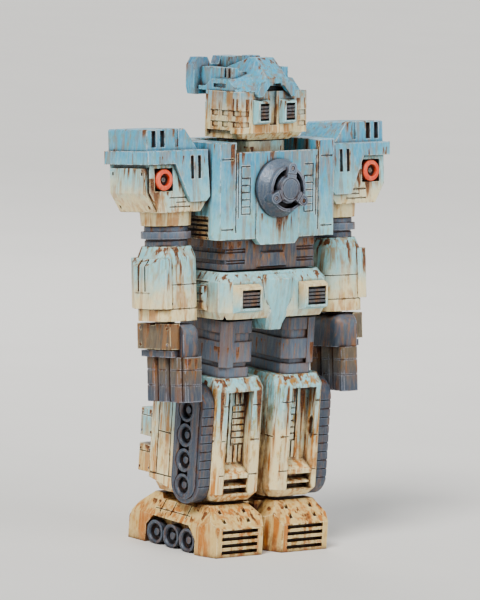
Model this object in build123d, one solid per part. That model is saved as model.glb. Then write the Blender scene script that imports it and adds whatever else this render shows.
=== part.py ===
"""Humanoid robot model kit: separate moulded pieces on pegs, pins and turning joints.

Millimetres, +Z up, -Y to the front, +X towards the robot's left hand.
Everything is drawn upright.  The body above the hips leans back a little and the arms
hang a little forward of it, so those pieces are turned at the end by leaned().
Limb pieces are drawn for the left side and mirrored to the right.
"""
from build123d import *
import math
import os

# ---------------------------------------------------------------- driving dimensions
TORSO_LEAN = -4.4            # degrees about X, through the hips
ARM_LEAN = -2.68             # further degrees about X, through the shoulders
HIP_HEIGHT = 70.0
SHOULDER_HEIGHT = 115.0
RUN_GAP = 0.08               # radial clearance of a turning peg
JOINT_GAP = 0.3              # between faces that turn past each other

FOOT_HALF_LENGTH = 20.0
FOOT_IN = 1.2
FOOT_OUT = 24.6
SOLE_TOP = 15.6
SHIN_IN = 2.4
SHIN_OUT = 21.4
SHIN_FRONT = -16.0
SHIN_BOTTOM = 16.4
SHIN_TOP = 54.6
ANKLE_X = 12.5
ANKLE_RADIUS = 3.0
THIGH_IN = 5.9
THIGH_OUT = 19.1
THIGH_FRONT = -13.4
THIGH_BACK = 10.0
PELVIS_BOTTOM = 72.0
PELVIS_TOP = 86.3
PELVIS_HALF = 21.5
PELVIS_FRONT = -16.4
PELVIS_BACK = 13.4
WAIST_BOTTOM = 86.8
WAIST_TOP = 96.2
WAIST_HALF = 18.5
CHEST_HALF = 24.0
CHEST_FRONT = -15.3
CHEST_BACK = 12.0
CHEST_BOTTOM = 96.5
CHEST_TOP = 126.2
HEAD_HALF = 13.8
HEAD_FRONT = -13.0
BLOCK_TOP = 141.4
CREST_TOP = 151.5
ARM_X = 33.2
ARM_Y = -1.2
BODY_IN = 24.6
BODY_OUT = 47.2
BODY_FRONT = -11.0
BODY_BACK = 8.0
BODY_BOTTOM = 105.0
FLANGE_BOTTOM = 119.7
FLANGE_TOP = 123.8
CAP_TOP = 130.4
LAMP_X = 41.7
COLLAR_BOTTOM = 100.7
BARREL_TOP = 94.4
BARREL_BOTTOM = 71.6
HAND_TOP = 70.9
FINGER_TOP = 60.4
FINGER_TIP = 46.8
SLOT = 0.6                   # width of an engraved line
CUT = 0.5                    # depth of an engraved line


# ---------------------------------------------------------------- shape helpers
def box(x0, x1, y0, y1, z0, z1):
    """A block between two corners."""
    size = Box(x1 - x0, y1 - y0, z1 - z0)
    return Pos((x0 + x1) / 2, (y0 + y1) / 2, (z0 + z1) / 2) * size


def loft_rings(rings):
    """A closed solid with straight sides through rings of matching points."""
    wires = [Wire.make_polygon(ring, close=True) for ring in rings]
    return Part(Solid.make_loft(wires, ruled=True).wrapped)


def plan(points, z0, z1):
    """An outline in X, Y raised from z0 to z1."""
    return loft_rings([[(x, y, z) for x, y in points] for z in (z0, z1)])


def profile(points, x0, x1):
    """An outline in Y, Z carried from x0 to x1."""
    return loft_rings([[(x, y, z) for y, z in points] for x in (x0, x1)])


def front(points, y0, y1):
    """An outline in X, Z carried from y0 to y1."""
    return loft_rings([[(x, y, z) for x, z in points] for y in (y0, y1)])


def rect(x0, x1, z0, z1):
    """The four corners of a rectangle, in order."""
    return [(x0, z0), (x1, z0), (x1, z1), (x0, z1)]


def cropped(x0, x1, y0, y1, cut):
    """A rectangle in plan with its corners cut off."""
    return [(x0 + cut, y0), (x1 - cut, y0), (x1, y0 + cut), (x1, y1 - cut),
            (x1 - cut, y1), (x0 + cut, y1), (x0, y1 - cut), (x0, y0 + cut)]


def tapered_front(base, face, y0, y1):
    """A block that narrows from rectangle base at y0 to rectangle face at y1."""
    rings = [[(x, y, z) for x, z in rect(*r)] for r, y in ((base, y0), (face, y1))]
    return loft_rings(rings)


def rod_z(x, y, radius, z0, z1, top_radius=None):
    """A round peg or cone standing on z0."""
    if top_radius is None:
        return Pos(x, y, (z0 + z1) / 2) * Cylinder(radius, z1 - z0)
    return Pos(x, y, (z0 + z1) / 2) * Cone(radius, top_radius, z1 - z0)


def rod_x(y, z, radius, x0, x1):
    """A round pin along X."""
    return Pos((x0 + x1) / 2, y, z) * Rot(0, 90, 0) * Cylinder(radius, x1 - x0)


def rod_y(x, z, radius, y0, y1, front_radius=None):
    """A round boss along Y, from its back y1 to its front y0."""
    if front_radius is None:
        shape = Cylinder(radius, y1 - y0)
    else:
        shape = Cone(radius, front_radius, y1 - y0)
    return Pos(x, (y0 + y1) / 2, z) * Rot(90, 0, 0) * shape


def both(shape):
    """The shape and its mirror image about the middle plane."""
    return shape + shape.mirror(Plane.YZ)


def cut_all(shape, tools):
    """The shape with every tool taken away from it."""
    for tool in tools:
        shape = shape - tool
    return shape


# ---------------------------------------------------------------- pelvis
def pelvis_ring(inset, z):
    """One level of the pelvis outline, drawn in by inset."""
    half = PELVIS_HALF - inset
    front_y = PELVIS_FRONT + inset
    corner = 3.2
    points = [(-half + corner, front_y), (half - corner, front_y), (half, front_y + corner),
              (half, PELVIS_BACK - inset), (-half, PELVIS_BACK - inset), (-half, front_y + corner)]
    return [(x, y, z) for x, y in points]


HIP_Z = 72.4                 # hip axle
HIP_Y = math.radians(-TORSO_LEAN) * (HIP_Z - HIP_HEIGHT)
HIP_ROOF = 82.6
KNEE_Z = 49.0
KNEE_PIN_RADIUS = 1.2
WAIST_POST_RADIUS = 3.0
HIP_PIN_RADIUS = 1.5


def pelvis_shell():
    """Bevelled shell, open below for the thighs, with a solid middle web."""
    levels = ((0.9, PELVIS_BOTTOM), (0.0, 74.2), (0.0, 83.4), (1.8, PELVIS_TOP))
    shell = loft_rings([pelvis_ring(inset, z) for inset, z in levels])
    well = box(THIGH_IN - 0.5, THIGH_OUT + 0.5, -14.1, THIGH_BACK + 1.2, 60, HIP_ROOF)
    shell = shell - both(well)
    web = box(-THIGH_IN + 0.6, THIGH_IN - 0.6, -6.5, 6.5, 69.6, PELVIS_BOTTOM + 1)
    shell = shell + web
    post_hole = rod_z(0, 0, WAIST_POST_RADIUS + RUN_GAP, 76.0, 90)
    pin_hole = rod_x(0, HIP_Z, HIP_PIN_RADIUS, -8, 8)
    side_grooves = [both(box(PELVIS_HALF - 0.4, 30, -8.5, 9.5, z, z + SLOT)) for z in (83.0,)]
    top_groove = box(-12, 12, 4.0, 4.6, PELVIS_TOP - CUT, 90)
    return cut_all(shell, [post_hole, pin_hole, top_groove] + side_grooves)


def crotch_guard():
    """Wedge in the middle of the pelvis front, pointed below."""
    rings = []
    for half, ridge, side, depth, z in ((2.7, 2.2, -13.6, -14.9, 68.2),
                                        (4.2, 2.3, -15.6, -16.6, 72.6),
                                        (5.6, 2.4, -16.6, -17.6, 78.5),
                                        (6.3, 2.4, -16.6, -18.5, 84.0),
                                        (5.4, 2.0, -16.0, -17.2, 85.4)):
        rings.append([(-half, -6.8, z), (-half, side, z), (-ridge, depth, z), (ridge, depth, z),
                      (half, side, z), (half, -6.8, z)])
    return loft_rings(rings) - box(-9, 9, -14.3, 0, 71.9, 90) - pelvis_shell()


def grille_box(x0, x1, z0, z1, base_y, grow, depth, slats, tilt=0.0, rim=0.7):
    """A tapered square duct with a rim and recessed flat louvres."""
    base = (x0 - grow, x1 + grow, z0 - grow, z1 + grow)
    shell = tapered_front(base, (x0, x1, z0, z1), base_y, base_y - depth)
    pocket = box(x0 + rim, x1 - rim, base_y - depth - 1, base_y - depth + 1.9, z0 + rim, z1 - rim)
    shell = shell - pocket
    pitch = (z1 - z0 - 2 * rim) / (slats + 1)
    for row in range(1, slats + 1):
        z = z0 + rim + row * pitch
        front_y = base_y - depth + 0.45
        blade = [(front_y, z - 0.28 - tilt), (base_y - depth + 1.9, z - 0.28),
                 (base_y - depth + 1.9, z + 0.28), (front_y, z + 0.28 - tilt)]
        shell = shell + profile(blade, x0 + rim, x1 - rim)
    return shell


def hip_vents():
    """The two louvred boxes on the pelvis front."""
    vent = grille_box(8.9, 17.5, 74.9, 81.9, PELVIS_FRONT, 0.9, 3.0, 4)
    return both(vent)


def hip_packs():
    """Flat ribbed boxes on the sides of the pelvis."""
    block = loft_rings([[(PELVIS_HALF, y, z) for y, z in rect(-8.0, 9.0, 74.4, 82.6)],
                        [(PELVIS_HALF + 1.6, y, z) for y, z in rect(-7.2, 8.2, 75.2, 81.8)]])
    lines = [box(PELVIS_HALF + 1.2, 30, -9, 10, z, z + SLOT) for z in (77.0, 79.4)]
    return both(cut_all(block, lines))


def hip_axle():
    """Steel rod through the middle web into both thighs."""
    return rod_x(0, HIP_Z, HIP_PIN_RADIUS, -THIGH_OUT + 2.5, THIGH_OUT - 2.5)


# ---------------------------------------------------------------- waist and chest
def waist_post():
    """Flanged peg that the torso turns on."""
    return rod_z(0, 0, WAIST_POST_RADIUS, 76.4, 104.0) + rod_z(0, 0, 6.0, 98.0, 99.6)


def waist_block():
    """Grey block with wrap-round slots and a raised middle plate."""
    corner = 1.2
    outline = cropped(-WAIST_HALF, WAIST_HALF, -12.6, 11.2, corner)
    block = plan(outline, WAIST_BOTTOM, WAIST_TOP)
    plate = [[(-5.9, -12.6, 87.3), (5.9, -12.6, 87.3), (4.7, -12.6, 92.4), (-4.7, -12.6, 92.4)],
             [(-5.2, -14.0, 87.8), (5.2, -14.0, 87.8), (4.1, -14.0, 91.8), (-4.1, -14.0, 91.8)]]
    block = block + loft_rings(plate)
    slots = []
    for z in (88.7, 92.1):
        slots.append(both(box(10.4, 30, -20, -11.9, z, z + 1.3)))
        slots.append(both(box(WAIST_HALF - 0.7, 30, -20, 8.0, z, z + 1.3)))
    slots.append(rod_z(0, 0, WAIST_POST_RADIUS + 0.01, 80, 110))
    block = cut_all(block, slots)
    ribs = [both(box(10.4, WAIST_HALF - 1.0, -12.3, -11.9, z, z + 0.5)) for z in (89.1, 92.5)]
    for rib in ribs:
        block = block + rib
    return block


def chest_outline(inset=0.0):
    """The chest in plan: narrow front corners, square back."""
    half = CHEST_HALF - inset
    front_y = CHEST_FRONT + inset
    return [(-half + 1.2, front_y), (half - 1.2, front_y), (half, front_y + 2.6),
            (half, CHEST_BACK - 2 - inset), (half - 2, CHEST_BACK - inset),
            (-half + 2, CHEST_BACK - inset), (-half, CHEST_BACK - 2 - inset),
            (-half, front_y + 2.6)]


PILLAR_IN = 16.5
CORE = (-15.0, 15.0, -8.0, 8.0, 99.6, 119.0)
SPLIT_Y = 1.0                # chest halves meet here
VENT_TOP = 103.6
AXLE_RADIUS = 2.5
DISC_Z = 111.8


def chest_solid():
    """Whole chest before it is split: pillars, neck recess, rib steps, inner room."""
    solid = plan(chest_outline(), CHEST_BOTTOM, CHEST_TOP)
    recess = box(-PILLAR_IN, PILLAR_IN, -13.6, 7.2, 119.0, 140)
    brow = box(-PILLAR_IN, PILLAR_IN, -30, -13.0, 123.1, 140)
    rib_room = both(box(CHEST_HALF - 2.0, 40, -11.0, 9.0, 90, VENT_TOP))
    foot_bevel = both(front([(21.6, 90), (30, 90), (30, 98.6), (CHEST_HALF + 0.2, 98.6)], -30, 30))
    inner = box(*CORE)
    waist_room = rod_z(0, 0, 6.1, 90, 100)
    return cut_all(solid, [recess, brow, rib_room, foot_bevel, inner, waist_room])


def chest_front():
    """Front half: engraved lines, raised lower panel and seat for the disc."""
    half = chest_solid() & box(-40, 40, -40, SPLIT_Y, 80, 140)
    tab = front([(-8.6, CHEST_BOTTOM), (8.6, CHEST_BOTTOM), (6.8, 94.6), (-6.8, 94.6)],
                CHEST_FRONT - 0.4, -13.0)
    panel = box(-8.6, 8.6, CHEST_FRONT - 0.4, CHEST_FRONT + 0.4, CHEST_BOTTOM, 109.0)
    half = half + tab + panel
    lines = []
    face = CHEST_FRONT + 0.35
    for z in (99.4, 120.9):
        lines.append(both(box(17.6, 22.2, -30, face, z, z + SLOT * 0.8)))
    lines.append(both(box(PILLAR_IN - 0.2, PILLAR_IN + 0.25, -30, face, 98.5, 124)))
    for z in (104.0, 106.2, 108.4, 110.6, 112.8, 115.0, 118.6):
        lines.append(both(box(10.9, 14.4, -30, face, z, z + 0.4)))
    lines.append(both(box(10.7, 11.1, -30, face, 104.0, 115.4)))
    lines.append(both(box(14.2, 14.6, -30, face, 104.0, 119.0)))
    lines.append(both(box(15.4, 15.8, -30, face, 103.0, 121.4)))
    lines.append(rod_y(0, DISC_Z, 3.0, -30, -10))
    lines.append(rod_y(0, DISC_Z, DISC_RADIUS, -30, CHEST_FRONT))
    lines.append(rod_x(0, SHOULDER_HEIGHT, AXLE_RADIUS, -40, 40))
    return cut_all(half, lines)


def chest_back():
    """Back half with a raised pack and vertical ribs."""
    half = chest_solid() & box(-40, 40, SPLIT_Y, 40, 80, 140)
    pack = loft_rings([[(x, CHEST_BACK, z) for x, z in rect(-14, 14, 99.5, 121)],
                       [(x, CHEST_BACK + 1.4, z) for x, z in rect(-12.6, 12.6, 101, 119.6)]])
    half = half + pack
    lines = [box(x - 0.5, x + 0.5, CHEST_BACK + 0.7, 40, 102.5, 112) for x in (-9, -6, -3, 0, 3, 6, 9)]
    lines.append(box(-12.8, 12.8, CHEST_BACK + 0.9, 40, 114.0, 114.6))
    lines.append(both(box(16.4, 17.0, CHEST_BACK - CUT, 40, 98, 124.5)))
    lines.append(rod_x(0, SHOULDER_HEIGHT, AXLE_RADIUS, -40, 40))
    return cut_all(half, lines)


def torso_core():
    """Inner block that holds the shoulder axle and the two posts."""
    core = box(-14.9, 14.9, -7.9, 7.9, 99.7, 118.9)
    holes = [rod_x(0, SHOULDER_HEIGHT, AXLE_RADIUS, -40, 40)]
    holes.append(rod_z(0, 0, WAIST_POST_RADIUS + 0.01, 90, 104.1))
    holes.append(both(box(4, 11, -20, 20, 103.5, 110)))
    holes.append(rod_y(0, DISC_Z - 4, 1.0, -20, -4))
    return cut_all(core, holes)


def shoulder_axle():
    """Steel axle across the chest that carries both arms."""
    return rod_x(0, SHOULDER_HEIGHT, AXLE_RADIUS, -38.0, 38.0)


def rib_vents():
    """Slatted blocks low on the sides of the chest."""
    block = box(CHEST_HALF - 2.0, CHEST_HALF - 0.2, -10.8, 8.8, CHEST_BOTTOM, VENT_TOP - 0.1)
    grooves = [box(CHEST_HALF - 1.1, 40, -20, 20, z, z + 0.75) for z in (97.4, 98.9, 100.4, 101.9)]
    return both(cut_all(block, grooves))


DISC_RADIUS = 9.0
DISC_FACE = -21.9


def chest_disc():
    """Cone-sided round boss with an open ring, three proud lugs and a hub."""
    body = rod_y(0, DISC_Z, DISC_RADIUS, CHEST_FRONT - 1.4, CHEST_FRONT)
    body = body + rod_y(0, DISC_Z, DISC_RADIUS, DISC_FACE + 2.6, CHEST_FRONT - 1.4, 7.0)
    body = body + rod_y(0, DISC_Z, 6.9, DISC_FACE + 1.2, CHEST_FRONT)
    ring = rod_y(0, DISC_Z, 6.1, -40, DISC_FACE + 4.4) - rod_y(0, DISC_Z, 4.4, -50, -10)
    body = body - ring
    body = body + rod_y(0, DISC_Z, 4.2, DISC_FACE + 0.2, DISC_FACE + 3.0, 3.8)
    body = body - (rod_y(0, DISC_Z, 3.4, -30, DISC_FACE + 0.4) - rod_y(0, DISC_Z, 3.1, -40, -10))
    for angle in (84, 204, 324):
        lug = box(3.6, 6.5, DISC_FACE, DISC_FACE + 4.6, -1.6, 1.6)
        lug = lug + rod_y(6.5, 0, 1.6, DISC_FACE, DISC_FACE + 4.6)
        lug = lug - rod_y(6.4, 0, 0.75, DISC_FACE - 1, DISC_FACE + 0.7)
        lug = lug - box(4.5, 4.8, DISC_FACE - 1, DISC_FACE + 0.35, -3, 3)
        body = body + Pos(0, 0, DISC_Z) * Rot(0, -angle, 0) * lug
    return body + rod_y(0, DISC_Z, 2.95, CHEST_FRONT, -11.0)


# ---------------------------------------------------------------- head
NECK_TOP = 126.0


def neck_post():
    """Square neck with a round spigot that the head turns on."""
    neck = plan(cropped(-7.6, 7.6, -9.9, 4.5, 0.8), 119.1, NECK_TOP)
    return neck + rod_z(0, -2, 3.0, NECK_TOP, 131.0)


def face_block():
    """Wide lower head: slotted sides, tapered chin and a set-back lower rim."""
    block = plan(cropped(-HEAD_HALF, HEAD_HALF, HEAD_FRONT, 3.4, 0.5), 128.6, BLOCK_TOP)
    rim = plan(cropped(-12.6, 12.6, -9.5, 5.6, 1.0), 127.0, 137.6)
    bevel = loft_rings([[(x, y, 127.0) for x, y in cropped(-12.0, 12.0, -11.4, 4.4, 1.0)],
                        [(x, y, 128.7) for x, y in cropped(-13.2, 13.2, -12.6, 3.0, 1.0)]])
    chin = loft_rings([[(x, y, NECK_TOP + 0.4) for x, y in rect(-8.2, 8.2, -10.7, 4.0)],
                       [(x, y, 128.6) for x, y in rect(-10.8, 10.8, HEAD_FRONT + 0.1, 5.0)]])
    block = block + rim + bevel + chin
    tools = [rod_z(0, -2, 3.0 + RUN_GAP, 120, 131.4)]
    for z in (133.9, 130.5):
        for y in (-1.4, -6.2, -11.4):
            tools.append(both(box(HEAD_HALF - CUT, 20, y - 1.7, y + 1.3, z, z + 1.6)))
        tools.append(both(box(HEAD_HALF - 0.25, 20, -13.2, 0.6, z + 1.5, z + 1.8)))
        tools.append(both(box(9.8, 13.0, -20, HEAD_FRONT + 0.35, z, z + 1.6)))
    tools.append(both(box(HEAD_HALF - 1.2, 20, -9.0, 2.2, 127.6, 129.5)))
    tools.append(box(-1.4, 1.4, -20, HEAD_FRONT + 1.0, 131.0, BLOCK_TOP + 1))
    return cut_all(block, tools)


def eye_vents():
    """Two louvred square eye housings."""
    return both(grille_box(2.9, 7.5, 132.0, 138.3, HEAD_FRONT, 0.7, 2.3, 4, rim=0.5))


def helmet():
    """Stepped side walls, ear wedges and a raised crest with an arched brow."""
    base = plan(cropped(-12.8, 12.8, -10.4, 8.4, 0.8), BLOCK_TOP, 142.6)
    walls = both(box(8.8, 11.2, -6.6, 8.4, BLOCK_TOP, 148.4))
    roof = both(box(3.0, 9.0, -6.4, 8.4, 142.0, 147.2))
    ears = both(loft_rings([[(x, nose, BLOCK_TOP), (x, nose + rise, top), (x, 1.4, top),
                             (x, 6.1, BLOCK_TOP)]
                            for x, nose, rise, top in ((5.4, -13.6, 5.0, 146.6),
                                                       (9.4, -12.6, 4.4, 145.4),
                                                       (12.9, -10.4, 3.6, 144.9))]))
    crest_rings = []
    for y, half_low, arch, half_top, top in ((-14.6, 7.2, 143.4, 4.2, 145.4),
                                             (-8.6, 7.8, 142.4, 3.5, CREST_TOP),
                                             (-5.4, 7.8, 142.4, 3.5, CREST_TOP),
                                             (5.0, 7.6, 142.4, 3.5, 148.2)):
        low = BLOCK_TOP + 0.1
        crest_rings.append([(-half_low, y, low), (-2.9, y, arch), (2.9, y, arch),
                            (half_low, y, low), (half_top, y, top), (-half_top, y, top)])
    fin = box(-3.3, 3.3, 4.6, 8.4, 142.0, CREST_TOP - 0.1)
    right_brow = [(2.9, 143.2), (5.8, 139.8), (7.4, 139.8), (7.8, 140.8), (6.2, 144.2)]
    left_brow = [(-x, z) for x, z in reversed(right_brow)]
    brow = front(right_brow + left_brow, -14.7, HEAD_FRONT - 0.05)
    body = base + walls + roof + ears + loft_rings(crest_rings) + fin + brow
    tools = [box(-1.6, 1.6, -20, -12.4, BLOCK_TOP - 1, 143.9)]
    tools += [both(box(10.5, 20, y - 0.5, y + 0.5, 145.4, 160)) for y in (-5.2, -3.2)]
    tools.append(both(box(12.2, 20, -5.4, 0.4, 142.4, 143.6)))
    tools.append(both(box(5.4, 8.8, 0.4, 7.4, 144.6, 160)))
    return cut_all(body, tools)


def head_rear_plate():
    """Upright plate behind the helmet with two raised ears and side returns."""
    right_half = [(13.4, 139.8), (14.0, 142.0), (14.0, 148.8), (12.4, CREST_TOP - 0.3),
                  (8.6, CREST_TOP - 0.3), (7.4, 149.0), (4.2, 149.0), (3.3, CREST_TOP - 0.1)]
    outline = right_half + [(-x, z) for x, z in reversed(right_half)]
    plate = front(outline, 8.4, 12.4)
    tools = [box(-9.5, 9.5, 12.0, 20, z, z + SLOT) for z in (142.2, 144.4, 146.6)]
    return cut_all(plate, tools)


# ---------------------------------------------------------------- arms (left side)
COLLAR_RADIUS = 8.0
PEG_RADIUS = 2.5
WRIST_RADIUS = 2.2
FACE_OUT = -12.4             # front of the flange and of the slanted panel


def shoulder_box():
    """Upper arm housing: lamp recess in front, taper below, round collar underneath."""
    outline = [(BODY_IN, 108.6), (27.6, BODY_BOTTOM), (43.4, BODY_BOTTOM), (BODY_OUT, 111.2),
               (BODY_OUT, FLANGE_BOTTOM), (BODY_IN, FLANGE_BOTTOM)]
    body = front(outline, BODY_FRONT, BODY_BACK)
    collar = rod_z(ARM_X, ARM_Y, COLLAR_RADIUS - 0.4, COLLAR_BOTTOM, BODY_BOTTOM + 0.5, COLLAR_RADIUS)
    body = body + collar
    tools = [box(LAMP_X - 3.6, LAMP_X + 3.6, -20, BODY_FRONT + 2.6, 111.5, 118.5)]
    tools.append(box(BODY_OUT - 1.0, 60, -10.7, -9.9, 80, 119.0))
    tools.append(rod_z(ARM_X, ARM_Y, PEG_RADIUS + RUN_GAP, 90, 111.5))
    tools.append(rod_x(0, SHOULDER_HEIGHT, AXLE_RADIUS + RUN_GAP, 20, 38.4))
    for z in (106.4, 109.2):
        tools.append(box(31.6, 39.6, -20, BODY_FRONT + 0.35, z, z + 0.45))
    tools.append(box(33.0, 37.0, -20, BODY_FRONT + 0.35, 107.8, 108.2))
    return cut_all(body, tools)


def shoulder_cap():
    """Flange band, notched top block and the slanted panel that hangs in front."""
    flange = box(25.2, 48.8, FACE_OUT, 8.8, FLANGE_BOTTOM, FLANGE_TOP)
    block = front([(27.6, FLANGE_TOP), (47.6, FLANGE_TOP), (47.6, CAP_TOP - 0.4),
                   (47.2, CAP_TOP), (33.0, CAP_TOP), (32.4, CAP_TOP - 0.3)], -10.4, 8.2)
    panel = front([(BODY_IN, 109.4), (26.0, 108.0), (32.4, 108.0), (37.9, FLANGE_BOTTOM),
                   (25.2, FLANGE_BOTTOM)], FACE_OUT, BODY_FRONT)
    cap = flange + block + panel
    tools = [box(x, x + 1.7, -20, -9.0, 124.9, CAP_TOP - 0.5) for x in (40.6, 44.0)]
    tools.append(box(35.2, 36.4, -20, -9.9, 124.9, 140))
    tools.append(box(34.0, 34.4, -20, 20, CAP_TOP - 0.4, 140))
    tools.append(box(34.4, 45.8, -6.0, -5.6, CAP_TOP - 0.4, 140))
    tools.append(box(34.4, 45.8, 4.6, 5.0, CAP_TOP - 0.4, 140))
    tools += [box(x - 0.6, x + 0.6, -20, FACE_OUT + 1.0, 115.0, 122.0) for x in (28.6, 31.4)]
    return cut_all(cap, tools)


def shoulder_panel():
    """Armour plate on the outside of the shoulder, bent in at the bottom."""
    outline = [(BODY_OUT, 118.6), (48.3, 118.6), (48.3, 111.0), (44.6, 105.2), (43.53, 105.2),
               (BODY_OUT, 111.2)]
    plate = front(outline, -9.8, 6.8)
    tools = [box(47.6, 60, y - 0.35, y + 0.35, 116.4, 117.4) for y in (-8.4, 5.4)]
    tools += [box(45.0, 60, y - 0.35, y + 0.35, 106.2, 107.2) for y in (-8.4, 5.4)]
    return cut_all(plate, tools)


def lamp_ring():
    """Orange ring in the square recess."""
    back = BODY_FRONT + 2.6
    ring = rod_y(LAMP_X, SHOULDER_HEIGHT, 3.3, -11.3, back)
    ring = ring + rod_y(LAMP_X, SHOULDER_HEIGHT, 3.3, -11.8, -11.3, 2.8)
    return ring - rod_y(LAMP_X, SHOULDER_HEIGHT, 1.9, -20, back)


def lamp_hub():
    """Dark stepped hub inside the ring."""
    back = BODY_FRONT + 2.6
    hub = rod_y(LAMP_X, SHOULDER_HEIGHT, 1.85, -10.2, back)
    return hub + rod_y(LAMP_X, SHOULDER_HEIGHT, 1.2, -10.8, -10.2, 0.7)


def arm_rings():
    """Three stacked rings between shoulder and forearm, on one tube."""
    stack = rod_z(ARM_X, ARM_Y, 6.7, 98.9, COLLAR_BOTTOM - 0.15)
    stack = stack + rod_z(ARM_X, ARM_Y, 7.7, 96.7, 98.9)
    stack = stack + rod_z(ARM_X, ARM_Y, 6.3, 96.1, 96.7)
    stack = stack + rod_z(ARM_X, ARM_Y, 6.6, 94.4, 96.1)
    return stack - rod_z(ARM_X, ARM_Y, PEG_RADIUS, 80, 110)


def arm_peg():
    """Peg from the forearm up into the shoulder box."""
    return rod_z(ARM_X, ARM_Y, PEG_RADIUS, 84.0, 111.0)


BARREL_HALF = 7.7
BARREL_ROUND = 4.6


def rounded_block(half, radius, z0, z1, top_half=None):
    """A square block with round corners about the arm's axis, narrower at the top if asked."""
    top_half = top_half or half
    wires = []
    for size, round_size, z in ((half, radius, z0), (top_half, radius - half + top_half, z1)):
        face = Pos(ARM_X, ARM_Y, z) * RectangleRounded(2 * size, 2 * size, round_size)
        wires.append(face.faces()[0].outer_wire())
    return Part(Solid.make_loft(wires, ruled=True).wrapped)


def forearm_barrel():
    """Round-cornered forearm with a coned top and two panel lines."""
    cone_base = 91.0
    barrel = rounded_block(BARREL_HALF, BARREL_ROUND, BARREL_BOTTOM, cone_base)
    barrel = barrel + rounded_block(BARREL_HALF, BARREL_ROUND, cone_base, BARREL_TOP,
                                    top_half=6.3)
    for z in (75.2, 82.6):
        band = rounded_block(BARREL_HALF + 1, BARREL_ROUND + 1, z, z + 0.35)
        band = band - rounded_block(BARREL_HALF - 0.3, BARREL_ROUND - 0.3, z - 1, z + 1)
        barrel = barrel - band
    dimples = [rod_y(ARM_X + 4.4, z, 0.45, -20, -8.2) for z in (77.0, 88.0)]
    bores = [rod_z(ARM_X, ARM_Y, PEG_RADIUS, 83.9, 110)]
    bores.append(rod_z(ARM_X, ARM_Y, WRIST_RADIUS + RUN_GAP, 60, 79.0))
    return cut_all(barrel, dimples + bores)


def forearm_plate():
    """Faceted armour on the outside of the forearm with two bent grooves."""
    outline = [(37.0, -8.2), (38.2, -9.5), (40.4, -9.5), (43.0, -4.8), (43.0, 2.6),
               (40.4, 7.1), (38.2, 7.1), (37.0, 5.8)]
    plate = plan(outline, 75.5, 91.0)
    slope = front([(43.1, 88.3), (50, 88.3), (50, 95), (36.0, 95), (40.6, 91.1)], -20, 20)
    plate = plate - slope
    plate = plate - rounded_block(BARREL_HALF, BARREL_ROUND, 70, 95)
    tools = []
    for y in (0.6, -2.5):
        tools.append(box(43.0 - 0.55, 50, y - 0.35, y + 0.35, 80.8, 88.6))
        tools.append(front([(42.5, 88.4), (50, 88.4), (50, 96), (40.0, 96), (40.0, 90.9)],
                           y - 0.35, y + 0.35))
    tools.append(box(42.8, 50, -20, 20, 80.2, 80.5))
    return cut_all(plate, tools)


def hand_block():
    """Domed mitten with the wrist peg on top and a knuckle strip below."""
    mitten = box(27.4, 35.0, -10.8, 6.7, 60.6, HAND_TOP - 0.1)
    tops = mitten.edges().filter_by(Axis.Y).group_by(Axis.Z)[-1].sort_by(Axis.X)[0]
    fronts = mitten.edges().filter_by(Axis.X).group_by(Axis.Z)[-1].sort_by(Axis.Y)[0]
    verticals = mitten.edges().filter_by(Axis.Z).sort_by(Axis.Y)[0:2].sort_by(Axis.X)[0]
    mitten = fillet([tops, fronts, verticals], 3.4)
    strip = box(35.0, 37.8, -8.4, 6.2, 60.6, 62.6)
    peg = rod_z(ARM_X, ARM_Y, WRIST_RADIUS, 66.0, 78.6)
    return mitten + strip + peg


def hand_plate():
    """Rust-worn plate over the back of the hand with a bolt in each corner."""
    plate = box(35.0, 38.8, -9.1, 6.7, 63.0, HAND_TOP)
    tools = [rod_x(y, z, 0.5, 38.3, 50) for y in (-7.6, 5.2) for z in (64.4, 69.4)]
    tools.append(box(34, 50, -2.0, 0.4, HAND_TOP - 0.5, 80))
    tools.append(rod_z(ARM_X, ARM_Y, WRIST_RADIUS + 0.01, 60, 80))
    return cut_all(plate, tools)


def fingers():
    """Three fingers along the side and one across the front, as one moulded row."""
    row = []
    for y in (1.5, -4.1, -9.7):
        row.append(plan(cropped(29.7, 36.1, y, y + 4.9, 0.8), FINGER_TIP, FINGER_TOP + 0.2))
    row.append(plan(cropped(28.2, 34.8, -11.6, -9.3, 0.6), FINGER_TIP, FINGER_TOP + 0.2))
    row.append(box(30.8, 35.0, -9.6, 5.6, 47.6, FINGER_TOP + 0.2))
    hand = row[0]
    for finger in row[1:]:
        hand = hand + finger
    for z in (51.8, 56.5):
        line = plan(cropped(20, 45, -20, 15, 1), z, z + 0.25)
        keep = plan(cropped(29.9, 35.9, -9.5, 6.2, 0.8), z - 1, z + 1)
        keep = keep + plan(cropped(28.4, 34.6, -11.4, -8.9, 0.6), z - 1, z + 1)
        hand = hand - (line - keep)
    return hand


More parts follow.
